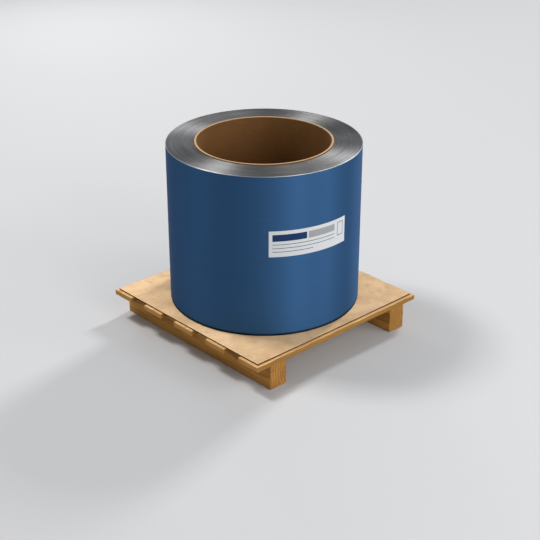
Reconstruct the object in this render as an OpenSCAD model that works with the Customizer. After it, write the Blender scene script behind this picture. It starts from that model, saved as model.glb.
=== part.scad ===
// Prepainted steel coil, standing on end on a small nailed pallet.
// Millimetres, +Z up. The origin is on the floor under the middle of the
// pallet, and the coil's axis is the Z axis. The deck boards run along X and
// the runners along Y, so forks enter along Y.

/* [Coil] */
// Outer diameter of the wound steel
coil_od = 744; // [640:1:820]
// Width of the slit strip, which is the height of the standing coil
strip_w = 637; // [500:1:900]

/* [Fibre core] */
// Bore of the core, which takes a 20 inch mandrel
core_id = 508; // [400:1:590]
// Wall of the core
core_wall = 11; // [4:0.5:16]
// How far the core stands above the end of the coil
core_proud = 4; // [0:0.5:20]
// Radial gap between the core and the first wrap
core_fit = 0.2; // [0.1:0.1:1]

/* [Label] */
// Length of the label round the coil
label_l = 326; // [60:1:500]
// Height of the label
label_h = 102; // [40:1:200]
// Thickness of the label with its adhesive
label_t = 0.3; // [0.2:0.1:1]
// Height of the label's middle above the foot of the coil
label_z = 376; // [120:1:390]
// Direction that the label faces, in degrees round the coil from +X
label_turn = 255; // [0:1:360]

/* [Deck] */
// Length of the deck boards
board_l = 845; // [760:1:1200]
// Width of one deck board
board_w = 105; // [70:1:140]
// Thickness of the deck boards
board_t = 20; // [12:1:40]
// Number of deck boards
board_count = 5; // [3:1:6]
// Depth of the deck across its boards, which is the length of the runners
deck_w = 845; // [760:1:1200]

/* [Runners] */
// Width of a runner
runner_w = 78; // [60:1:120]
// Height of a runner
runner_h = 98; // [80:1:160]
// How far the ends of the boards reach past a runner's outer side
overhang = 64; // [0:1:120]

/* [Deck sheet] */
// Thickness of the fibre sheet under the coil
sheet_t = 5; // [2:0.5:12]
// How far the sheet stops short of the edges of the deck
sheet_inset = 12; // [0:1:60]

/* [Nails] */
// Diameter of a nail's shank
nail_d = 4; // [2.5:0.1:6]
// Diameter of a nail's head
head_d = 9; // [7:0.5:12]
// Thickness of a nail's head, which lies flush in the board
head_t = 1.6; // [1:0.1:3]
// Length of a nail from the top of its head to its tip
nail_l = 75; // [45:1:90]
// Length of the pointed tip
tip_l = 8; // [4:1:12]
// Distance from a nail to the side of its board
nail_edge = 25; // [15:1:30]
// Distance along the board from a nail to the middle of the runner
nail_stagger = 15; // [0:1:20]
// Gap round a nail in its hole
nail_fit = 0.1; // [0.1:0.1:0.5]

/* [Hidden] */
$fn = 48;
ROUND_FN = 240;

PAINT = [0.19, 0.32, 0.50];
PAPER = [0.93, 0.93, 0.91];
FIBRE = [0.62, 0.52, 0.40];
KRAFT = [0.90, 0.78, 0.60];
DECK_WOOD = [0.74, 0.57, 0.36];
RUNNER_WOOD = [0.62, 0.44, 0.24];
NAIL_STEEL = [0.60, 0.60, 0.60];

// Levels, from the floor up
deck_z = runner_h;
deck_top = deck_z + board_t;
coil_foot = deck_top + sheet_t;

// Radii round the coil's axis
coil_r = coil_od / 2;
core_in_r = core_id / 2;
core_out_r = core_in_r + core_wall;
eye_r = core_out_r + core_fit;

// Places of the boards, runners and nails
board_pitch = (deck_w - board_w) / (board_count - 1);
runner_x = board_l / 2 - overhang - runner_w / 2;
nail_y = board_w / 2 - nail_edge;
function board_y(i) = -deck_w / 2 + board_w / 2 + (i - 1) * board_pitch;

// A ring round the Z axis that stands on its own foot
module ring(r_in, r_out, h) {
    rotate_extrude($fn = ROUND_FN)
        translate([r_in, 0])
            square([r_out - r_in, h]);
}

// A block centred on X and Y
module plank(size) {
    translate([-size.x / 2, -size.y / 2, 0])
        cube(size);
}

// The wound strip, as one solid with its eye
module coil() {
    color(PAINT)
        translate([0, 0, coil_foot])
            ring(eye_r, coil_r, strip_w);
}

// The fibre sleeve that the strip is wound on
module fibre_core() {
    color(FIBRE)
        translate([0, 0, coil_foot])
            ring(core_in_r, core_out_r, strip_w + core_proud);
}

// A paper label wrapped on the side of the coil
module label() {
    sweep = label_l / coil_r * 180 / PI;
    color(PAPER)
        translate([0, 0, coil_foot + label_z - label_h / 2])
            rotate([0, 0, label_turn - sweep / 2])
                rotate_extrude(angle = sweep, $fn = ROUND_FN)
                    translate([coil_r, 0])
                        square([label_t, label_h]);
}

// The fibre sheet between the coil and the boards
module deck_sheet() {
    color(KRAFT)
        translate([0, 0, deck_top])
            plank([board_l - 2 * sheet_inset, deck_w - 2 * sheet_inset, sheet_t]);
}

// Two staggered nails for each crossing of a board and a runner
module at_nails(boards, sides) {
    for (i = boards, side = sides, end = [-1, 1])
        translate([side * runner_x + end * nail_stagger, board_y(i) + end * nail_y, deck_top])
            children();
}

// One nail with its head up, its top at Z = 0, larger all round by a gap
module nail(gap = 0) {
    shank_r = nail_d / 2 + gap;
    head_r = head_d / 2 + gap;
    rotate_extrude()
        polygon([[0, 0], [head_r, 0], [head_r, -head_t - gap], [shank_r, -head_t - gap],
                 [shank_r, tip_l - nail_l], [0, -nail_l - gap]]);
}

module nails() {
    color(NAIL_STEEL)
        at_nails([1:board_count], [-1, 1])
            nail();
}

// Deck board number i, counted from the front
module deck_board(i) {
    color(DECK_WOOD)
        difference() {
            translate([0, board_y(i), deck_z])
                plank([board_l, board_w, board_t]);
            at_nails([i], [-1, 1])
                nail(nail_fit);
        }
}

// The runner on one side of the pallet: -1 is left, 1 is right
module runner(side) {
    color(RUNNER_WOOD)
        difference() {
            translate([side * runner_x, 0, 0])
                plank([runner_w, deck_w, runner_h]);
            at_nails([1:board_count], [side])
                nail(nail_fit);
        }
}

coil();
fibre_core();
label();
deck_sheet();
for (i = [1:board_count])
    deck_board(i);
runner(-1);  // runner_left
runner(1);  // runner_right
nails();
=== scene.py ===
"""Looks of a prepainted steel coil on its pallet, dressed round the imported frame.

Every length is in metres, in the frame's own axes: +Z up along the coil's axis,
X along the deck boards and Y along the runners.
"""

from __future__ import annotations

import logging
import math
from dataclasses import dataclass
from enum import Enum

import bpy
import numpy as np
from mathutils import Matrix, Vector

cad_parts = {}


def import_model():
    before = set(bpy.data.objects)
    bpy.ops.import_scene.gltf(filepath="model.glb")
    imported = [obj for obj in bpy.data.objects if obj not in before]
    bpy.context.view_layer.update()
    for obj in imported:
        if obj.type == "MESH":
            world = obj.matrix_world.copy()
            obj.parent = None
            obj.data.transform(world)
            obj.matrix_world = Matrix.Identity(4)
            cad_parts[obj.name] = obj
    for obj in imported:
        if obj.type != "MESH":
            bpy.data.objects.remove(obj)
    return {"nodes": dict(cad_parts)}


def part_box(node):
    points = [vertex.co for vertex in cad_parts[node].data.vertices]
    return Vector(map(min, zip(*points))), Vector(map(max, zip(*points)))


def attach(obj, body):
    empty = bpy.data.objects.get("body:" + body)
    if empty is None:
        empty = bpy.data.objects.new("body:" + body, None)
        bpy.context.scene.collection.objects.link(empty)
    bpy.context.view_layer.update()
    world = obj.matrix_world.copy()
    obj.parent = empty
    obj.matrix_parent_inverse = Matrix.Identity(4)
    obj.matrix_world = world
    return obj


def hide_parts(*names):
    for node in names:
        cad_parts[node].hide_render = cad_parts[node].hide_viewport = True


LOG = logging.getLogger("steel_coil")
BODY = "root"
MM = 0.001
TURN = 2.0 * math.pi
ARC_POINTS = 5  # on the arc of a rounded edge

Triple = tuple[float, float, float]
Rgb = Triple
Box = tuple[np.ndarray, np.ndarray]
Socket = bpy.types.NodeSocket


class Slot(Enum):
    """The record's material slots."""

    STEEL = "painted_steel"
    TUBE = "fibre_tube"
    PAPER = "label_paper"
    SHEET = "kraft_sheet"
    BOARD = "board_wood"
    RUNNER = "runner_wood"
    NAIL = "nail_steel"


class Attribute(Enum):
    """Names of the maps that the meshes carry for their finishes."""

    WRAP = "wrap"
    GRAIN = "grain"
    BARE = "bare"
    EDGE = "edge"


# ---------------------------------------------------------------- shapes


def node_box(node: str) -> Box:
    """The lowest and highest corner of a CAD node, as arrays.

    Args:
        node: The node's name.

    Returns:
        The two corners, in metres.
    """
    low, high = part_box(node)
    return np.array(low), np.array(high)


def ripple(x: np.ndarray, seed: int, wavelength: float) -> np.ndarray:
    """A smooth random curve: a sum of sines, each shorter and weaker than the last.

    Args:
        x: Where to sample the curve, in metres.
        seed: Picks the phases.
        wavelength: The longest wave, in metres.

    Returns:
        Values of about -1 to 1, shaped like x.
    """
    rng = np.random.default_rng(seed)
    total = np.zeros_like(x, dtype=float)
    weights = [0.62**k for k in range(4)]
    for k, weight in enumerate(weights):
        stretch = 1.7**k * rng.uniform(0.85, 1.15)
        total += weight * np.sin(TURN * stretch * x / wavelength + rng.uniform(0, TURN))
    return total / sum(weights)


def grid_quads(rows: int, cols: int, wrap_rows: bool, wrap_cols: bool) -> np.ndarray:
    """Corner numbers of the quads between the points of a rows by cols grid.

    Args:
        rows: Points down the grid.
        cols: Points across the grid.
        wrap_rows: Whether the last row joins the first.
        wrap_cols: Whether the last column joins the first.

    Returns:
        One row of four point numbers for each quad.
    """
    i = np.arange(rows if wrap_rows else rows - 1)[:, None]
    j = np.arange(cols if wrap_cols else cols - 1)[None, :]
    down, right = (i + 1) % rows, (j + 1) % cols
    quads = np.stack([i * cols + j, i * cols + right, down * cols + right, down * cols + j], -1)
    return quads.reshape(-1, 4)


def make_piece(
    name: str, points: np.ndarray, faces: list[list[int]], smooth: np.ndarray | bool = True
) -> bpy.types.Object:
    """A mesh object from points and faces that are already in place.

    Args:
        name: The object's name.
        points: One row of X, Y, Z for each point.
        faces: Lists of point numbers, counted anticlockwise from outside.
        smooth: Whether each face is shaded smooth.

    Returns:
        The new object, linked to the scene.
    """
    mesh = bpy.data.meshes.new(name)
    mesh.from_pydata(points.reshape(-1, 3).tolist(), [], faces)
    mesh.polygons.foreach_set("use_smooth", np.broadcast_to(smooth, len(mesh.polygons)).astype(bool))
    mesh.update()
    piece = bpy.data.objects.new(name, mesh)
    bpy.context.scene.collection.objects.link(piece)
    return piece


def corner_points(piece: bpy.types.Object) -> np.ndarray:
    """The point number at each face corner of a piece's mesh.

    Args:
        piece: The mesh object.

    Returns:
        One point number for each corner, in the mesh's own order.
    """
    loops = np.empty(len(piece.data.loops), dtype=np.int64)
    piece.data.loops.foreach_get("vertex_index", loops)
    return loops


def add_uv(piece: bpy.types.Object, uv: np.ndarray) -> None:
    """Give a piece its UV map.

    Args:
        piece: The mesh object.
        uv: U and V for each face corner.
    """
    layer = piece.data.uv_layers.new(name=Attribute.WRAP.value)
    layer.data.foreach_set("uv", np.ascontiguousarray(uv, dtype=np.float32).ravel())


def add_map(piece: bpy.types.Object, attribute: Attribute, values: np.ndarray) -> None:
    """Store one number or one vector for each point of a piece.

    Args:
        piece: The mesh object.
        attribute: The map that the values make.
        values: An array of N numbers or of N by 3.
    """
    kind, key = ("FLOAT_VECTOR", "vector") if values.ndim == 2 else ("FLOAT", "value")
    store = piece.data.attributes.new(attribute.value, kind, "POINT")
    store.data.foreach_set(key, np.ascontiguousarray(values, dtype=np.float32).ravel())


def coat(piece: bpy.types.Object, material: bpy.types.Material) -> None:
    """Give a piece its finish.

    Args:
        piece: The mesh object, built here or a CAD node.
        material: Its finish.
    """
    piece.data.materials.clear()
    piece.data.materials.append(material)
    LOG.info("%s: %d faces", piece.name, len(piece.data.polygons))


def settle(piece: bpy.types.Object, material: bpy.types.Material, node: str) -> None:
    """Finish a piece and let it stand for its CAD node.

    Args:
        piece: The mesh object.
        material: Its finish.
        node: The CAD node that it replaces.
    """
    coat(piece, material)
    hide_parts(node)
    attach(piece, BODY)


def arc(radius: float, start: float, end: float, count: int) -> np.ndarray:
    """Points on a quarter or other arc about the origin.

    Args:
        radius: The arc's radius.
        start: First angle, in degrees.
        end: Last angle, in degrees.
        count: How many points.

    Returns:
        An array of count by 2.
    """
    a = np.radians(np.linspace(start, end, count))
    return radius * np.stack([np.cos(a), np.sin(a)], -1)


def revolve(radii: np.ndarray, heights: np.ndarray, angle: np.ndarray) -> np.ndarray:
    """An outline carried round the Z axis.

    Args:
        radii: Distance from the axis for each outline point and each angle.
        heights: Height of each outline point.
        angle: Angles round the axis, in radians.

    Returns:
        An array of outline points by angles by 3.
    """
    level = np.broadcast_to(heights[:, None], radii.shape)
    return np.stack([radii * np.cos(angle), radii * np.sin(angle), level], -1)


def scaled(colour: Rgb, share: float) -> Rgb:
    """A colour made darker or lighter by one factor."""
    return tuple(part * share for part in colour)


# ---------------------------------------------------------------- node graphs


class Graph:
    """A small builder of shader nodes for one material."""

    def __init__(self, name: str) -> None:
        """Start a material with an empty tree, a Principled shader and an output."""
        self.material = bpy.data.materials.new(name)
        self.material.use_nodes = True
        self.tree = self.material.node_tree
        self.tree.nodes.clear()
        self.shader = self.node("ShaderNodeBsdfPrincipled")
        output = self.node("ShaderNodeOutputMaterial")
        self.join(self.shader.outputs["BSDF"], output.inputs["Surface"])

    def node(self, kind: str, **settings: object) -> bpy.types.Node:
        """Add a node and set its own settings.

        Args:
            kind: The node's type name.
            settings: The node's properties by name.

        Returns:
            The new node.
        """
        node = self.tree.nodes.new(kind)
        for key, value in settings.items():
            setattr(node, key, value)
        return node

    def join(self, source: Socket, target: Socket) -> None:
        """Link an output to an input."""
        self.tree.links.new(source, target)

    def feed(self, target: Socket, value: object) -> None:
        """Link a socket to an input, or set the input to a constant.

        Args:
            target: The input.
            value: A socket, or the constant.
        """
        if isinstance(value, Socket):
            self.join(value, target)
        else:
            target.default_value = value

    def math(self, operation: str, *values: object) -> Socket:
        """The result of a Math node.

        Args:
            operation: The node's operation.
            values: Its sockets or numbers, in order.

        Returns:
            The node's number.
        """
        node = self.node("ShaderNodeMath", operation=operation)
        for target, value in zip(node.inputs, values):
            self.feed(target, value)
        return node.outputs[0]

    def object_point(self) -> Socket:
        """The shaded point in the frame's own axes."""
        return self.node("ShaderNodeTexCoord").outputs["Object"]

    def attribute(self, attribute: Attribute, output: str = "Fac") -> Socket:
        """A map stored on the mesh, as its number or its vector."""
        return self.node("ShaderNodeAttribute", attribute_name=attribute.value).outputs[output]

    def split(self, vector: Socket) -> list[Socket]:
        """The three parts of a vector.

        Args:
            vector: The vector.

        Returns:
            Its X, Y and Z.
        """
        node = self.node("ShaderNodeSeparateXYZ")
        self.join(vector, node.inputs[0])
        return list(node.outputs)

    def stretch(self, vector: Socket, scale: Triple) -> Socket:
        """A vector with each part multiplied.

        Args:
            vector: The vector.
            scale: What each of its parts is multiplied by.

        Returns:
            The product.
        """
        node = self.node("ShaderNodeVectorMath", operation="MULTIPLY")
        self.join(vector, node.inputs[0])
        node.inputs[1].default_value = scale
        return node.outputs["Vector"]

    def length(self, first: Socket, second: Socket) -> Socket:
        """The length of a flat vector from its two parts."""
        squares = [self.math("MULTIPLY", part, part) for part in (first, second)]
        return self.math("SQRT", self.math("ADD", *squares))

    def noise(self, vector: Socket, scale: float, detail: float = 3.0, rough: float = 0.5) -> Socket:
        """A noise field.

        Args:
            vector: Where the field is sampled.
            scale: How many lumps it has in a unit.
            detail: How many finer layers it has.
            rough: How strong the finer layers are.

        Returns:
            A number of about 0 to 1 with its middle at 0.5.
        """
        node = self.node("ShaderNodeTexNoise")
        self.join(vector, node.inputs["Vector"])
        for key, value in (("Scale", scale), ("Detail", detail), ("Roughness", rough)):
            node.inputs[key].default_value = value
        return node.outputs["Fac"]

    def ramp(self, factor: Socket, stops: list[tuple[float, Rgb]]) -> Socket:
        """A colour picked from stops by a number.

        Args:
            factor: The number.
            stops: Places from 0 to 1, each with its colour.

        Returns:
            The colour.
        """
        node = self.node("ShaderNodeValToRGB")
        self.join(factor, node.inputs["Fac"])
        elements = node.color_ramp.elements
        while len(elements) < len(stops):
            elements.new(0.5)
        for element, (place, colour) in zip(elements, stops):
            element.position = place
            element.color = (*colour, 1.0)
        return node.outputs["Color"]

    def span(
        self, factor: Socket, low: float, high: float, to_low: float = 0.0, to_high: float = 1.0
    ) -> Socket:
        """A number moved from one span to another, and held inside it.

        Args:
            factor: The number.
            low: Where the first span starts.
            high: Where it ends.
            to_low: Where the second span starts.
            to_high: Where it ends.

        Returns:
            The moved number.
        """
        node = self.node("ShaderNodeMapRange", clamp=True)
        for target, value in zip(node.inputs, (factor, low, high, to_low, to_high)):
            self.feed(target, value)
        return node.outputs[0]

    def mix(self, factor: object, first: object, second: object, blend: str = "MIX") -> Socket:
        """A blend of two colours.

        Args:
            factor: The second colour's share, as a socket or a number.
            first: A socket or a colour.
            second: A socket or a colour.
            blend: How the second is laid over the first.

        Returns:
            The blended colour.
        """
        node = self.node("ShaderNodeMix", data_type="RGBA", blend_type=blend)
        self.feed(node.inputs[0], factor)
        for target, value in zip((node.inputs[6], node.inputs[7]), (first, second)):
            self.feed(target, (*value, 1.0) if isinstance(value, tuple) else value)
        return node.outputs[2]

    def bump(self, height: Socket, depth: float) -> Socket:
        """A normal tilted by a height field.

        Args:
            height: The field, from 0 to 1.
            depth: What its full swing stands for, in metres.

        Returns:
            The tilted normal.
        """
        node = self.node("ShaderNodeBump")
        node.inputs["Strength"].default_value = 1.0
        node.inputs["Distance"].default_value = depth
        self.join(height, node.inputs["Height"])
        return node.outputs["Normal"]

    def finish(self, **inputs: object) -> bpy.types.Material:
        """Feed the Principled shader.

        Args:
            inputs: Values or sockets by the shader's own names, with _ for a space.

        Returns:
            The finished material.
        """
        for key, value in inputs.items():
            target = self.shader.inputs[key.replace("_", " ")]
            self.feed(target, (*value, 1.0) if isinstance(value, tuple) else value)
        return self.material


# ---------------------------------------------------------------- finishes


@dataclass(frozen=True)
class CoilFinish:
    """Blue coil coating on the outer wrap, and slit steel edges on the ends.

    The foot shadow is painted shade: a near-black line at the foot of the side, where the coil stands
    on its sheet.
    """

    foot: float
    strip: float
    paint: Rgb = (0.036, 0.102, 0.224)
    steel: Rgb = (0.212, 0.211, 0.210)
    # bright bare steel on the rounded top shoulder, lightened further as a painted highlight line
    bright_steel_and_highlight: Rgb = (0.50, 0.50, 0.50)
    # painted shade: colour and height of the contact shadow painted at the coil's foot
    foot_shadow: Rgb = (0.002, 0.003, 0.005)
    foot_shadow_height: float = 13.0 * MM
    tones_out: float = 170.0
    tones_round: float = 1.3

    def material(self) -> bpy.types.Material:
        """Blend paint and bare edge by the mesh's own bare map.

        Returns:
            The coil's material.
        """
        g = Graph("painted_steel")
        bare = g.attribute(Attribute.BARE)
        x, y, z = g.split(g.object_point())
        radius = g.length(x, y)
        turn = g.math("DIVIDE", g.math("ARCTAN2", y, x), TURN)
        wrap = g.math("SUBTRACT", g.math("DIVIDE", radius, self.strip), turn)
        lap = g.math("ABSOLUTE", g.math("SUBTRACT", g.math("FRACT", wrap), 0.5))
        tone = g.noise(self.ring_field(g, radius, turn), 1.0, 5.0, 0.72)
        worn = g.noise(g.stretch(g.object_point(), (30.0, 30.0, 30.0)), 1.0, 4.0)
        dark, pale = scaled(self.steel, 0.68), scaled(self.steel, 1.35)
        edge = g.ramp(g.span(tone, 0.30, 0.70), [(0.0, dark), (0.5, self.steel), (1.0, pale)])
        streak = g.noise(g.stretch(g.object_point(), (2.0, 2.0, 160.0)), 1.0, 2.0)
        paint = g.mix(g.span(streak, 0.3, 0.7), scaled(self.paint, 0.96), scaled(self.paint, 1.04))
        # painted contact shadow: the paint turns near-black in a band just above the foot
        low = g.span(z, self.foot + 0.5 * self.foot_shadow_height, self.foot + self.foot_shadow_height, 0.95, 0.0)
        paint = g.mix(low, paint, self.foot_shadow)
        # the rounded top shoulder: bright bare steel and a painted highlight
        edge = g.mix(g.attribute(Attribute.EDGE), edge, self.bright_steel_and_highlight)
        skin = g.noise(g.object_point(), 900.0, 1.0)
        land = g.math("SUBTRACT", 1.0, g.span(lap, 0.36, 0.5))
        height = g.mix(bare, g.math("MULTIPLY", skin, 0.02), land)
        coat_rough = g.span(streak, 0.3, 0.7, 0.56, 0.60)
        edge_rough = g.span(worn, 0.3, 0.7, 0.485, 0.525)
        return g.finish(
            Base_Color=g.mix(bare, paint, edge),
            Metallic=g.span(bare, 0.0, 1.0, 0.55, 0.94),
            Roughness=g.mix(bare, coat_rough, edge_rough),
            Anisotropic=0.88,
            Specular_IOR_Level=0.15,
            Specular_Tint=(0.22, 0.24, 0.27),
            Tangent=self.tangent(g),
            Normal=g.bump(height, 0.02 * MM),
        )

    def ring_field(self, g: Graph, radius: Socket, turn: Socket) -> Socket:
        """A point that moves fast with the radius and slowly round the axis.

        Args:
            g: The material's graph.
            radius: Distance from the axis, in metres.
            turn: Angle round the axis, in turns.

        Returns:
            Where the tones of the wraps are sampled.
        """
        angle = g.math("MULTIPLY", turn, TURN)
        node = g.node("ShaderNodeCombineXYZ")
        g.join(g.math("MULTIPLY", radius, self.tones_out), node.inputs[0])
        for target, wave in ((node.inputs[1], "COSINE"), (node.inputs[2], "SINE")):
            g.join(g.math("MULTIPLY", g.math(wave, angle), self.tones_round), target)
        return node.outputs[0]

    @staticmethod
    def tangent(g: Graph) -> Socket:
        """The direction across the wraps, from the mesh's own map."""
        node = g.node("ShaderNodeTangent", direction_type="UV_MAP", uv_map=Attribute.WRAP.value)
        return node.outputs[0]


@dataclass(frozen=True)
class TubeFinish:
    """Wound brown paper plies, with a paler cut rim."""

    seam_pitch: float
    wall: Rgb = (0.150, 0.065, 0.015)
    rim: Rgb = (0.42, 0.28, 0.155)
    ply: float = 0.55 * MM

    def material(self) -> bpy.types.Material:
        """Rim by the bare map, plies by radius, spiral seams on the wall.

        Returns:
            The core's material.
        """
        g = Graph("fibre_tube")
        bare = g.attribute(Attribute.BARE)
        point = g.object_point()
        x, y, z = g.split(point)
        radius = g.length(x, y)
        plies = g.math("FRACT", g.math("DIVIDE", radius, self.ply))
        fibre = g.noise(g.stretch(point, (60.0, 60.0, 220.0)), 1.0, 4.0, 0.65)
        blotch = g.noise(point, 14.0, 3.0)
        wall = g.mix(g.span(fibre, 0.3, 0.7), scaled(self.wall, 0.82), scaled(self.wall, 1.18))
        wall = g.mix(g.span(blotch, 0.35, 0.65, 0.0, 0.25), wall, scaled(self.wall, 0.7))
        turn = g.math("DIVIDE", g.math("ARCTAN2", y, x), TURN)
        helix = g.math("FRACT", g.math("SUBTRACT", g.math("DIVIDE", z, self.seam_pitch), turn))
        seam = g.math("ABSOLUTE", g.math("SUBTRACT", helix, 0.5))
        wall = g.mix(g.span(seam, 0.0, 0.012, 0.45, 0.0), wall, scaled(self.wall, 0.5))
        cut = g.mix(g.span(plies, 0.15, 0.85), scaled(self.rim, 0.85), scaled(self.rim, 1.1))
        cut = g.mix(g.span(fibre, 0.35, 0.7, 0.0, 0.4), cut, scaled(self.rim, 0.75))
        return g.finish(
            Base_Color=g.mix(bare, wall, cut),
            Roughness=g.span(fibre, 0.3, 0.7, 0.72, 0.88),
            Specular_IOR_Level=0.3,
            Normal=g.bump(g.math("ADD", fibre, g.math("MULTIPLY", bare, plies)), 0.15 * MM),
        )


@dataclass(frozen=True)
class SheetFinish:
    """Pressed kraft fibre board: pale, mottled, with short darker fibres."""

    light: Rgb = (0.83, 0.57, 0.333)
    dark: Rgb = (0.58, 0.375, 0.195)
    # painted shade: the cut edge is coloured dark brown for the shadow under the sheet's edge
    edge: Rgb = (0.085, 0.034, 0.008)

    def material(self) -> bpy.types.Material:
        """Mottle on three scales, and a cut edge painted dark brown as the shade in the gap under it.

        Returns:
            The sheet's material.
        """
        g = Graph("kraft_sheet")
        point = g.object_point()
        cloud = g.noise(point, 9.0, 5.0, 0.55)
        stain = g.noise(g.stretch(point, (23.0, 19.0, 19.0)), 1.0, 3.0, 0.6)
        fleck = g.noise(g.stretch(point, (140.0, 420.0, 420.0)), 1.0, 3.0, 0.7)
        cross = g.noise(g.stretch(point, (420.0, 140.0, 420.0)), 1.0, 3.0, 0.7)
        fine = g.math("MULTIPLY", g.math("ADD", fleck, cross), 0.5)
        face = g.mix(g.span(cloud, 0.38, 0.64, 0.0, 0.75), self.light, self.dark)
        face = g.mix(g.span(stain, 0.52, 0.68, 0.0, 0.35), face, scaled(self.dark, 0.75))
        face = g.mix(g.span(fine, 0.36, 0.5, 0.5, 0.0), face, scaled(self.dark, 0.72))
        # painted shade on the cut edge
        face = g.mix(g.attribute(Attribute.BARE), face, self.edge)
        return g.finish(
            Base_Color=face,
            Roughness=g.span(fine, 0.4, 0.6, 0.78, 0.92),
            Specular_IOR_Level=0.08,
            Normal=g.bump(fine, 0.2 * MM),
        )


@dataclass(frozen=True)
class WoodFinish:
    """Sawn softwood: growth rings round a pith line, fibres along it and a few knots.

    The mesh's grain map gives each point as (along, across, up) from its own pith.
    The rings bow slowly along the wood and wander a little on the way. The end tint darkens
    the sawn ends, partly as end grain and partly as painted shade; the side tint is painted
    shade on the side faces.
    """

    name: str
    early: Rgb
    late: Rgb
    ring: float
    bow: float = 22.0 * MM
    wander: float = 2.5 * MM
    # darker sawn ends: part end grain, part painted shade; darker side faces: painted shade
    end_grain_and_shade_tint: Rgb = (1.0, 1.0, 1.0)
    side_shade_tint: Rgb = (1.0, 1.0, 1.0)

    def material(self) -> bpy.types.Material:
        """Rings from the distance to the pith, bent by long slow noise.

        Returns:
            The wood's material.
        """
        g = Graph(self.name)
        grain = g.attribute(Attribute.GRAIN, "Vector")
        along, across, up = g.split(grain)
        bend = g.noise(g.stretch(grain, (3.0, 10.0, 10.0)), 1.0, 2.0)
        wander = g.noise(g.stretch(grain, (14.0, 60.0, 60.0)), 1.0, 3.0)
        radius = g.length(across, up)
        radius = g.math("ADD", radius, g.math("MULTIPLY", bend, self.bow))
        radius = g.math("ADD", radius, g.math("MULTIPLY", wander, self.wander))
        ring = g.math("FRACT", g.math("DIVIDE", radius, self.ring))
        dark = g.math("POWER", ring, 2.6)
        dark = g.math("MULTIPLY", dark, g.span(ring, 0.90, 1.0, 1.0, 0.0))
        fibre = g.noise(g.stretch(grain, (9.0, 700.0, 700.0)), 1.0, 4.0, 0.7)
        streak = g.noise(g.stretch(grain, (1.6, 85.0, 85.0)), 1.0, 3.0, 0.6)
        stain = g.noise(g.stretch(grain, (2.5, 14.0, 14.0)), 1.0, 3.0)
        colour = g.mix(g.math("MULTIPLY", dark, 0.9), self.early, self.late)
        colour = g.mix(g.span(streak, 0.5, 0.72, 0.0, 0.55), colour, self.late)
        colour = g.mix(g.span(fibre, 0.3, 0.62, 0.42, 0.0), colour, scaled(self.late, 0.72))
        colour = g.mix(g.span(stain, 0.35, 0.75, 0.0, 0.35), colour, scaled(self.late, 0.9))
        # painted shade: darker side faces, and darker sawn ends that are partly real end grain
        for place, tint in ((Attribute.BARE, self.end_grain_and_shade_tint), (Attribute.EDGE, self.side_shade_tint)):
            colour = g.mix(g.attribute(place), colour, g.mix(1.0, colour, tint, "MULTIPLY"))
        height = g.math("ADD", g.math("MULTIPLY", fibre, 0.8), g.math("MULTIPLY", dark, 0.4))
        return g.finish(
            Base_Color=colour,
            Roughness=g.span(fibre, 0.3, 0.7, 0.62, 0.8),
            Specular_IOR_Level=0.3,
            Normal=g.bump(height, 0.5 * MM),
        )


@dataclass(frozen=True)
class LabelFinish:
    """White paper printed with a blank form: two header bars, rules and an empty frame."""

    paper: Rgb = (0.585, 0.60, 0.61)
    navy: Rgb = (0.003, 0.026, 0.095)
    grey: Rgb = (0.30, 0.30, 0.31)
    ink: Rgb = (0.035, 0.05, 0.09)

    def bars(self) -> list[tuple[float, float, float, float, Rgb]]:
        """Printed rectangles as left, right, foot and top shares of the label, and ink.

        Returns:
            One entry for each bar: two header bars, write-in rules and an empty frame.
        """
        header = [(0.04, 0.44, 0.60, 0.86, self.navy), (0.46, 0.82, 0.60, 0.86, self.grey)]
        lines = ((0.82, 0.46), (0.82, 0.32), (0.52, 0.18))
        rules = [(0.04, right, v, v + 0.022, self.ink) for right, v in lines]
        sides = [(u, u + 0.007, 0.34, 0.86, self.ink) for u in (0.865, 0.953)]
        ends = [(0.865, 0.96, v, v + 0.022, self.ink) for v in (0.34, 0.838)]
        return [*header, *rules, *sides, *ends]

    def material(self) -> bpy.types.Material:
        """Paper fibres under printed bars placed on the label's own map.

        Returns:
            The label's material.
        """
        g = Graph("label_paper")
        map_node = g.node("ShaderNodeUVMap", uv_map=Attribute.WRAP.value)
        u, v, _ = g.split(map_node.outputs[0])
        fibre = g.noise(g.object_point(), 500.0, 3.0)
        colour = g.mix(g.span(fibre, 0.3, 0.7), scaled(self.paper, 0.96), self.paper)
        for left, right, foot, top, ink in self.bars():
            wide = g.math("MULTIPLY", g.math("GREATER_THAN", u, left), g.math("LESS_THAN", u, right))
            tall = g.math("MULTIPLY", g.math("GREATER_THAN", v, foot), g.math("LESS_THAN", v, top))
            colour = g.mix(g.math("MULTIPLY", wide, tall), colour, ink)
        return g.finish(
            Base_Color=colour, Roughness=0.6, Specular_IOR_Level=0.2, Normal=g.bump(fibre, 0.05 * MM)
        )


@dataclass(frozen=True)
class NailFinish:
    """Bright drawn wire."""

    steel: Rgb = (0.45, 0.45, 0.46)

    def material(self) -> bpy.types.Material:
        """Grey metal with faint drawing marks.

        Returns:
            The nails' material.
        """
        g = Graph("nail_steel")
        marks = g.noise(g.stretch(g.object_point(), (900.0, 900.0, 60.0)), 1.0, 2.0)
        return g.finish(
            Base_Color=g.mix(marks, scaled(self.steel, 0.8), self.steel),
            Metallic=1.0,
            Roughness=g.span(marks, 0.3, 0.7, 0.32, 0.48),
        )


# ---------------------------------------------------------------- sub-assemblies


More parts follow.
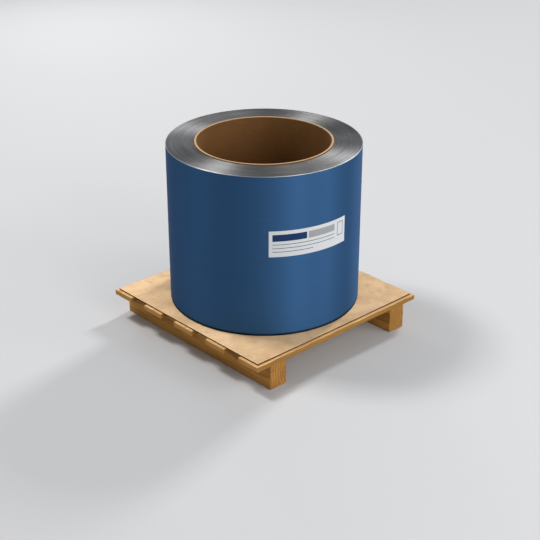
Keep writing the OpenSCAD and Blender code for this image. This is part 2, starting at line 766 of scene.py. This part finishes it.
@dataclass
class SteelCoil:
    """The wound strip: one closed ring whose ends show their wraps and whose tail steps.

    The step takes a small share of a turn, so that its two edges don't share points.
    """

    eye_r: float
    outer_r: float
    foot: float
    top: float
    strip: float = 0.6 * MM
    bands: int = 44
    foot_bands: int = 22
    lap_depth: float = 0.45 * MM
    lap_width: float = 0.45 * MM
    telescope: float = 0.35 * MM
    tilt: float = 0.10 * MM
    top_round: float = 2.2 * MM
    foot_round: float = 4.0 * MM
    paint_line: float = 0.3 * MM
    tail_turn: float = 62.0
    step_turn: float = 3e-5
    wall_rows: int = 12
    columns: int = 336
    seed: int = 11

    def end_profile(self, bands: int, seed: int) -> tuple[np.ndarray, np.ndarray]:
        """Radius and height of one end, band by band from the eye outwards.

        Each band of wraps is a flat land with its own height and a slight tilt, and
        a narrow V groove divides it from the next.

        Args:
            bands: How many bands the end is divided into.
            seed: Picks the heights and tilts.

        Returns:
            Radii and heights above the end's own plane.
        """
        rng = np.random.default_rng(seed)
        edges = np.linspace(self.eye_r, self.outer_r - self.top_round, bands + 1)
        edges[1:-1] += rng.uniform(-0.3, 0.3, bands - 1) * (edges[1] - edges[0])
        low, high = edges[:-1], edges[1:]
        rise = rng.uniform(-1.0, 0.0, bands) * self.telescope
        tip = rng.uniform(-0.5, 0.5, bands) * self.tilt
        half_lap, half_tilt = self.lap_width / 2, self.tilt / 2
        radii = np.stack([low, low + half_lap, high - half_lap], -1)
        lands = [rise - tip - half_tilt, rise + tip - half_tilt]
        heights = np.stack([rise - self.lap_depth, *lands], -1)
        return radii.ravel(), heights.ravel()

    def profile(self) -> tuple[np.ndarray, np.ndarray, np.ndarray]:
        """The ring's closed outline, anticlockwise with the axis on the left.

        Returns:
            Radii, heights, and how bare of paint each point is.
        """
        top_r, top_h = self.end_profile(self.bands, self.seed)
        foot_r, foot_h = self.end_profile(self.foot_bands, self.seed + 1)
        upper = arc(self.top_round, 90.0, 0.0, ARC_POINTS)
        upper += [self.outer_r - self.top_round, self.top - self.top_round]
        lower = arc(self.foot_round, 0.0, -90.0, ARC_POINTS)
        lower += [self.outer_r - self.foot_round, self.foot + self.foot_round]
        paint_top = self.top - self.top_round - self.paint_line
        wall_z = np.linspace(paint_top, self.foot + 1.5 * self.foot_round, self.wall_rows)
        wall_r = np.full(self.wall_rows, self.outer_r)
        radii = np.concatenate([foot_r[::-1], top_r, upper[:, 0], wall_r, lower[:, 0]])
        heights = np.concatenate(
            [self.foot - foot_h[::-1], self.top + top_h, upper[:, 1], wall_z, lower[:, 1]]
        )
        painted = self.wall_rows + len(lower)
        bare = np.concatenate([np.ones(len(radii) - painted), np.zeros(painted)])
        return radii, heights, bare

    def build(self) -> bpy.types.Object:
        """Carry the outline round the axis, growing the outside by one strip each turn.

        Returns:
            The coil.
        """
        radii, heights, bare = self.profile()
        rows = len(radii)
        turn = np.linspace(0.0, 1.0, self.columns) * (1.0 - self.step_turn)
        outside = (radii > self.outer_r - 3.0 * self.top_round)[:, None]
        grown = radii[:, None] - outside * self.strip * (1.0 - turn[None, :])
        points = revolve(grown, heights, math.radians(self.tail_turn) + TURN * turn)
        quads = grid_quads(rows, self.columns, True, True)[:, ::-1]
        side_rows = self.wall_rows + 2 * ARC_POINTS
        smooth = np.repeat(np.arange(rows) >= rows - side_rows, self.columns)
        piece = make_piece("wound_strip", points, quads.tolist(), smooth)
        corners = corner_points(piece)
        along = np.concatenate([[0.0], np.cumsum(np.hypot(np.diff(radii), np.diff(heights)))])
        add_uv(piece, np.stack([along[corners // self.columns], turn[corners % self.columns]], -1))
        add_map(piece, Attribute.BARE, np.repeat(bare, self.columns))
        # the shoulder that the finish lightens, as bright steel and painted highlight
        rounded = radii > self.outer_r - 0.95 * self.top_round
        shoulder = rounded & (heights > self.top - 1.01 * self.top_round)
        add_map(piece, Attribute.EDGE, np.repeat(shoulder.astype(float), self.columns))
        return piece

    def dress(self) -> None:
        """Paint the coil and let it stand for its node."""
        settle(self.build(), CoilFinish(self.foot, self.strip).material(), "coil")


@dataclass
class FibreCore:
    """The tube in the coil's eye."""

    inner_r: float
    outer_r: float
    foot: float
    top: float
    rim_round: float = 2.2 * MM
    rim_wave: float = 0.15 * MM
    ream: float = 3.0 * MM
    seam_pitch: float = 0.13
    seam_depth: float = 0.25 * MM
    columns: int = 240
    wall_rows: int = 72
    rim_rows: int = 14

    def profile(self) -> tuple[np.ndarray, np.ndarray, np.ndarray]:
        """The tube's closed outline, from the foot of its bore up and over its rim.

        Returns:
            Radii, heights, and how much of the cut rim shows at each point.
        """
        r, count = self.rim_round, self.rim_rows
        bore_z = np.linspace(self.foot + 2 * r, self.top - 2 * self.ream, self.wall_rows)
        bore_r = np.full(self.wall_rows, self.inner_r)
        ream_cut, round_cut = [0.0, 0.0, 0.0, 0.15, 0.5, 0.8], [0.7, 0.2, 0.0, 0.0, 0.0]
        reamed = arc(self.ream, 180.0, 90.0, len(ream_cut))
        reamed += [self.inner_r + self.ream, self.top - self.ream]
        rounded = arc(r, 90.0, 0.0, len(round_cut)) + [self.outer_r - r, self.top - r]
        rim_r = np.linspace(self.inner_r + self.ream + 0.3 * MM, self.outer_r - 2 * r, count)
        rim_z = self.top + self.rim_wave * (ripple(rim_r, 5, 4 * MM) - 1.0)
        base_r, base_z = [self.outer_r, self.inner_r], [self.foot, self.foot]
        radii = np.concatenate([bore_r, reamed[:, 0], rim_r, rounded[:, 0], base_r])
        heights = np.concatenate([bore_z, reamed[:, 1], rim_z, rounded[:, 1], base_z])
        bare = np.concatenate([0.0 * bore_r, ream_cut, np.ones(count), round_cut, [0.0, 0.0]])
        return radii, heights, bare

    def build(self) -> bpy.types.Object:
        """A tube of round-edged section, with the lap of its last ply as a helix inside.

        Returns:
            The core.
        """
        radii, heights, bare = self.profile()
        turn = np.arange(self.columns) / self.columns
        phase = np.mod(heights[:, None] / self.seam_pitch - turn[None, :], 1.0)
        inside = (np.arange(len(radii)) < self.wall_rows)[:, None]
        grown = radii[:, None] - inside * self.seam_depth * (phase - 1.0)
        points = revolve(grown, heights, TURN * turn)
        quads = grid_quads(len(radii), self.columns, True, True)[:, ::-1]
        piece = make_piece("wound_tube", points, quads.tolist())
        add_map(piece, Attribute.BARE, np.repeat(bare, self.columns))
        return piece

    def dress(self) -> None:
        """Finish the tube and let it stand for its node."""
        settle(self.build(), TubeFinish(self.seam_pitch).material(), "fibre_core")


@dataclass
class Label:
    """The paper label, wrapped on the side of the coil."""

    radius: float
    thickness: float
    middle: float
    sweep: float
    foot: float
    top: float
    columns: int = 96
    rows: int = 24

    def build(self) -> bpy.types.Object:
        """A patch of the cylinder with an outer face, an inner face and their rim.

        Returns:
            The label.
        """
        u, v = np.meshgrid(np.linspace(0, 1, self.columns), np.linspace(0, 1, self.rows))
        angle = self.middle + (u - 0.5) * self.sweep
        height = self.foot + v * (self.top - self.foot)
        shells = []
        for radius in (self.radius + self.thickness, self.radius):
            shell = np.stack([radius * np.cos(angle), radius * np.sin(angle), height], -1)
            shells.append(shell.reshape(-1, 3))
        count = self.rows * self.columns
        outer = grid_quads(self.rows, self.columns, False, False)
        inner = outer[:, ::-1] + count
        index = np.arange(count).reshape(self.rows, self.columns)
        rim = np.concatenate([index[0, :-1], index[:-1, -1], index[-1, :0:-1], index[:0:-1, 0]])
        after = np.roll(rim, -1)
        side = np.stack([rim, rim + count, after + count, after], -1)
        faces = np.concatenate([outer, inner, side]).tolist()
        piece = make_piece("coil_label", np.concatenate(shells), faces, False)
        flat = np.tile(np.stack([u.ravel(), v.ravel()], -1), (2, 1))
        add_uv(piece, flat[corner_points(piece)])
        return piece

    def dress(self) -> None:
        """Print the label and let it stand for its node."""
        settle(self.build(), LabelFinish().material(), "label")


class Axis(Enum):
    """Which way a block's length runs."""

    X = 0
    Y = 1


@dataclass
class Block:
    """A sawn block with worn arrises, its length along X or Y.

    The radius of each arris wanders by its wear along the length. The pith is where the
    middle of the tree lay, across and up from the middle of the block.
    """

    name: str
    low: np.ndarray
    high: np.ndarray
    axis: Axis
    seed: int
    arris: float = 2.0 * MM
    wear: float = 0.5
    wear_wave: float = 0.17
    stations: int = 120
    cap_rings: int = 6
    side_points: tuple[int, int] = (10, 5)
    pith: tuple[float, float] = (0.0, -0.06)

    def section(self, wide: float, tall: float) -> tuple[np.ndarray, np.ndarray, np.ndarray]:
        """Rounded rectangle as unit directions, so that its corner radius can vary.

        Each point is a corner's centre plus a unit arc, or a place along a side.

        Args:
            wide: Width of the section.
            tall: Height of the section.

        Returns:
            Base points, arc offsets that scale with the radius, and corner numbers.
        """
        half = np.array([wide, tall]) / 2.0
        clear = 2.2  # radii that the points of a side keep off its corners
        base, offset, corner = [], [], []
        signs = [(1, 1), (-1, 1), (-1, -1), (1, -1)]
        for k, (sx, sy) in enumerate(signs):
            centre = np.array([sx, sy])
            base.append(np.tile(half * centre, (ARC_POINTS, 1)))
            offset.append(arc(1.0, 90.0 * k, 90.0 * (k + 1), ARC_POINTS) - centre)
            corner.append(np.full(ARC_POINTS, k))
            nx, ny = signs[(k + 1) % 4]
            share = np.linspace(0, 1, self.side_points[k % 2])[:, None]
            away = np.array([nx - sx, ny - sy]) / 2.0
            start, stop = half * centre, half * [nx, ny]
            base.append(start + (stop - start) * share)
            offset.append(away * clear * (1.0 - 2.0 * share))
            corner.append(np.where(share[:, 0] < 0.5, k, (k + 1) % 4))
        return np.concatenate(base), np.concatenate(offset), np.concatenate(corner)

    def sections(self, wide: float, tall: float, length: float) -> tuple[np.ndarray, np.ndarray]:
        """The section at each station, drawn in over rounded ends to a small cap.

        Args:
            wide: Width of the section.
            tall: Height of the section.
            length: Length of the block.

        Returns:
            The stations' places along the length, and their section points.
        """
        base, offset, corner = self.section(wide, tall)
        r = self.arris
        end = arc(r, 0.0, 90.0, ARC_POINTS)
        reach = length / 2 - 2.5 * r
        inner = np.linspace(-reach, reach, self.stations)
        x = np.concatenate([-length / 2 + r - end[::-1, 1], inner, length / 2 - r + end[:, 1]])
        inset = np.concatenate([r - end[::-1, 0], np.zeros(self.stations), r - end[:, 0]])
        ripples = [ripple(x, self.seed + k, self.wear_wave) for k in range(4)]
        radius = r * (1.0 + self.wear * np.stack(ripples, -1))
        scale = 1.0 - 2.0 * inset[:, None, None] / np.array([wide, tall])
        points = (base + offset * radius[:, corner][:, :, None]) * scale
        caps = np.linspace(0.85, 0.1, self.cap_rings)[:, None, None]
        points = np.concatenate([points[0] * caps[::-1], points, points[-1] * caps])
        ends = np.full(self.cap_rings, x[0]), np.full(self.cap_rings, x[-1])
        return np.concatenate([ends[0], x, ends[1]]), points

    def build(self) -> bpy.types.Object:
        """Join the sections into a closed skin, and map its wood.

        Returns:
            The block.
        """
        lengths = self.high - self.low
        wide, tall, length = lengths[1 - self.axis.value], lengths[2], lengths[self.axis.value]
        x, points = self.sections(wide, tall, length)
        stations, ring = points.shape[:2]
        along = np.broadcast_to(x[:, None, None], (stations, ring, 1))
        local = np.concatenate([along, points], -1).reshape(-1, 3)
        local = np.concatenate([local, [[x[0], 0, 0], [x[-1], 0, 0]]])
        faces = grid_quads(stations, ring, False, True).tolist()
        k = np.arange(ring)
        after = np.roll(k, -1)
        first, last, tail = stations * ring, stations * ring + 1, (stations - 1) * ring
        faces += np.stack([after, k, np.full(ring, first)], -1).tolist()
        faces += np.stack([tail + k, tail + after, np.full(ring, last)], -1).tolist()
        piece = make_piece(self.name, self.placed(local), faces)
        self.map_wood(piece, local, wide, length)
        return piece

    def placed(self, local: np.ndarray) -> np.ndarray:
        """Points along, across and up from the block's middle, moved into the frame."""
        if self.axis is Axis.Y:
            local = np.stack([-local[:, 1], local[:, 0], local[:, 2]], -1)
        return local + (self.low + self.high) / 2.0

    def map_wood(self, piece: bpy.types.Object, local: np.ndarray, wide: float, length: float) -> None:
        """Store where each point lay in the tree, and which lie on the ends and the sides.

        Args:
            piece: The block.
            local: Its points, along, across and up from its middle.
            wide: Width of the section.
            length: Length of the block.
        """
        rng = np.random.default_rng(self.seed)
        shift = np.array([rng.uniform(-5, 5), *self.pith])
        near = 0.3 * self.arris
        # sawn ends and side faces, which the wood's finish darkens: the sides as painted shade, the
        # ends partly as end grain and partly as painted shade
        ends = np.abs(np.abs(local[:, 0]) - length / 2) < near
        edges = ~ends & (np.abs(np.abs(local[:, 1]) - wide / 2) < near)
        add_map(piece, Attribute.GRAIN, local - shift)
        add_map(piece, Attribute.BARE, ends.astype(float))
        add_map(piece, Attribute.EDGE, edges.astype(float))


@dataclass
class Pallet:
    """Deck boards on two runners, with their nails.

    Each board comes from above or below the pith, and each runner from further out beside it.
    """

    boards: list[str]
    runners: list[str]
    board_wood: WoodFinish = WoodFinish(
        name="board_wood",
        early=(0.86, 0.56, 0.25),
        late=(0.52, 0.26, 0.080),
        ring=6.5 * MM,
        # painted shade on the side faces, and on the sawn ends together with their end grain
        end_grain_and_shade_tint=(0.69, 0.55, 0.33),
        side_shade_tint=(0.43, 0.345, 0.16),
    )
    runner_wood: WoodFinish = WoodFinish(
        name="runner_wood",
        early=(0.62, 0.305, 0.060),
        late=(0.19, 0.070, 0.010),
        ring=12.0 * MM,
        # sawn ends: end grain, partly painted shade
        end_grain_and_shade_tint=(0.78, 0.76, 0.72),
    )

    def dress(self, nodes: dict[str, bpy.types.Object]) -> None:
        """Build each board and runner, and finish the nails.

        Args:
            nodes: The frame's CAD nodes by name.
        """
        board_skin, runner_skin = self.board_wood.material(), self.runner_wood.material()
        rng = np.random.default_rng(4)
        for k, node in enumerate(self.boards):
            pith = (rng.uniform(-0.03, 0.03), rng.choice([-1.0, 1.0]) * rng.uniform(0.03, 0.09))
            block = Block(f"board_{k + 1}", *node_box(node), Axis.X, 20 + 10 * k, pith=pith)
            settle(block.build(), board_skin, node)
        for k, node in enumerate(self.runners):
            pith = (rng.choice([-1.0, 1.0]) * rng.uniform(0.12, 0.16), rng.uniform(-0.01, 0.01))
            name, seed = node.replace("runner", "bearer"), 90 + 10 * k
            block = Block(name, *node_box(node), Axis.Y, seed, 2.5 * MM, pith=pith, side_points=(8, 10))
            settle(block.build(), runner_skin, node)
        coat(nodes["nails"], NailFinish().material())


@dataclass
class DeckSheet:
    """The fibre sheet, flat under the coil and lifting a little at its corners."""

    low: np.ndarray
    high: np.ndarray
    coil_r: float
    lift: float = 1.6 * MM
    shaded_edge_width: float = 0.35 * MM
    side: int = 90

    def build(self) -> bpy.types.Object:
        """A block whose points rise with their distance past the coil.

        Returns:
            The sheet.
        """
        piece = Block(
            "fibre_sheet",
            self.low,
            self.high,
            Axis.X,
            seed=61,
            arris=0.9 * MM,
            wear=0.2,
            stations=self.side,
            side_points=(self.side, 3),
        ).build()
        count = len(piece.data.vertices)
        points = np.empty(count * 3, dtype=np.float64)
        piece.data.vertices.foreach_get("co", points)
        points = points.reshape(-1, 3)
        out = np.hypot(points[:, 0], points[:, 1]) - self.coil_r
        reach = np.hypot(self.high[0], self.high[1]) - self.coil_r
        points[:, 2] += self.lift * np.clip(out / reach, 0.0, 1.0) ** 2
        piece.data.vertices.foreach_set("co", points.ravel())
        # the cut edge band, which the sheet's finish paints dark as painted shade
        edge = np.abs(points[:, :2]).max(axis=1) > self.high[0] - self.shaded_edge_width
        piece.data.attributes[Attribute.BARE.value].data.foreach_set("value", edge.astype(np.float32))
        piece.data.update()
        return piece

    def dress(self) -> None:
        """Finish the sheet and let it stand for its node."""
        settle(self.build(), SheetFinish().material(), "deck_sheet")


# ---------------------------------------------------------------- studio


@dataclass(frozen=True)
class SoftBox:
    """A rectangular lamp: its turn about Z and its height in degrees, its distance and size."""

    name: str
    turn: float
    height: float
    distance: float
    width: float
    tall: float
    watts: float

    def place(self, focus: Triple) -> None:
        """Hang the lamp at its turn round a point and aim it there.

        Args:
            focus: The point that it faces.
        """
        target = np.array(focus)
        light = bpy.data.lights.new(self.name, "AREA")
        light.shape = "RECTANGLE"
        light.size, light.size_y = self.width, self.tall
        light.energy = self.watts
        lamp = bpy.data.objects.new(self.name, light)
        bpy.context.scene.collection.objects.link(lamp)
        aim_at(lamp, target + direction(self.turn, self.height) * self.distance, target)


def direction(turn: float, rise: float) -> np.ndarray:
    """The unit vector at a turn about Z and a rise above the floor, in degrees."""
    flat, up = math.cos(math.radians(rise)), math.sin(math.radians(rise))
    return np.array([flat * math.cos(math.radians(turn)), flat * math.sin(math.radians(turn)), up])


def aim_at(thing: bpy.types.Object, place: np.ndarray, target: np.ndarray) -> None:
    """Put a lamp or camera at a place, looking at a target with its top up.

    Args:
        thing: The lamp or camera.
        place: Where it stands.
        target: What it faces.
    """
    thing.location = Vector(place)
    thing.rotation_euler = (Vector(target) - Vector(place)).to_track_quat("-Z", "Y").to_euler()


@dataclass
class Studio:
    """A pale floor, a soft surround, lamps and the camera.

    The wall is a row of soft boxes in front, each as its turn about Z and its watts.
    """

    aim: Triple = (0.0164, -0.0154, 0.2161)
    focus: Triple = (0.0, 0.0, 0.4)
    turn: float = -132.863
    rise: float = 26.048
    reach: float = 4.926
    lens: float = 83.0
    floor_size: float = 60.0
    sky: float = 0.30
    wall: tuple[tuple[float, float], ...] = (
        (-122.0, 20.0), (-105.0, 64.0), (-90.0, 95.0), (-75.0, 11.0), (-60.0, 86.0), (-42.0, 14.0),
    )
    lamps: tuple[SoftBox, ...] = (
        SoftBox("back_right", 12.5, 36.0, 12.0, 1.4, 2.4, 775.0),
        SoftBox("back_left", 117.5, 60.0, 6.0, 1.2, 1.2, 232.0),
        SoftBox("low_back", 66.0, 18.0, 6.0, 1.6, 1.2, 60.0),
    )

    def floor(self) -> None:
        """A wide plain floor at the foot of the runners."""
        half = self.floor_size / 2.0
        corners = np.array([[-half, -half, 0], [half, -half, 0], [half, half, 0], [-half, half, 0]])
        floor = make_piece("studio_floor", corners, [[0, 1, 2, 3]], False)
        g = Graph("studio_floor")
        grit = g.noise(g.object_point(), 180.0, 3.0)
        tone = g.mix(grit, (0.45, 0.45, 0.455), (0.51, 0.51, 0.51))
        floor.data.materials.append(g.finish(Base_Color=tone, Roughness=0.9))

    def surround(self) -> None:
        """An even pale sky."""
        world = bpy.data.worlds.new("surround")
        world.use_nodes = True
        background = world.node_tree.nodes["Background"]
        background.inputs["Color"].default_value = (0.93, 0.96, 1.0, 1.0)
        background.inputs["Strength"].default_value = self.sky
        bpy.context.scene.world = world

    def camera(self) -> None:
        """The camera, from its turn, rise and reach about the point that it looks at."""
        camera = bpy.data.objects.new("camera", bpy.data.cameras.new("camera"))
        bpy.context.scene.collection.objects.link(camera)
        camera.data.lens = self.lens
        aim = np.array(self.aim)
        aim_at(camera, aim + direction(self.turn, self.rise) * self.reach, aim)
        bpy.context.scene.camera = camera

    def build(self) -> None:
        """Set up the floor, the light and the camera."""
        bpy.context.scene.view_settings.view_transform = "Standard"
        self.floor()
        self.surround()
        self.camera()
        for k, (turn, watts) in enumerate(self.wall):
            SoftBox(f"front_wall_{k + 1}", turn, 22.0, 6.0, 1.6, 3.2, watts).place(self.focus)
        for lamp in self.lamps:
            lamp.place(self.focus)


@dataclass(frozen=True)
class Fittings:
    """Sizes of the part that its nodes' boxes don't show."""

    core_wall: float = 11.0 * MM
    core_fit: float = 0.2 * MM
    label_thickness: float = 0.3 * MM
    label_run: float = 326.0 * MM
    label_turn: float = -105.0


def main() -> None:
    """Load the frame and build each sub-assembly round it."""
    logging.basicConfig(level=logging.INFO, format="%(name)s %(message)s")
    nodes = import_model()["nodes"]
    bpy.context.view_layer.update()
    Studio().build()

    fit = Fittings()
    low, high = node_box("coil")
    core_low, core_high = node_box("fibre_core")
    label_low, label_high = node_box("label")
    coil_r, core_r = high[0], core_high[0]
    SteelCoil(core_r + fit.core_fit, coil_r, low[2], high[2]).dress()
    FibreCore(core_r - fit.core_wall, core_r, core_low[2], core_high[2]).dress()
    Label(
        radius=coil_r,
        thickness=fit.label_thickness,
        middle=math.radians(fit.label_turn),
        sweep=fit.label_run / coil_r,
        foot=label_low[2],
        top=label_high[2],
    ).dress()
    DeckSheet(*node_box("deck_sheet"), coil_r).dress()
    boards = sorted(name for name in nodes if name.startswith("deck_board"))
    Pallet(boards, ["runner_left", "runner_right"]).dress(nodes)


if __name__ == "__main__":
    main()
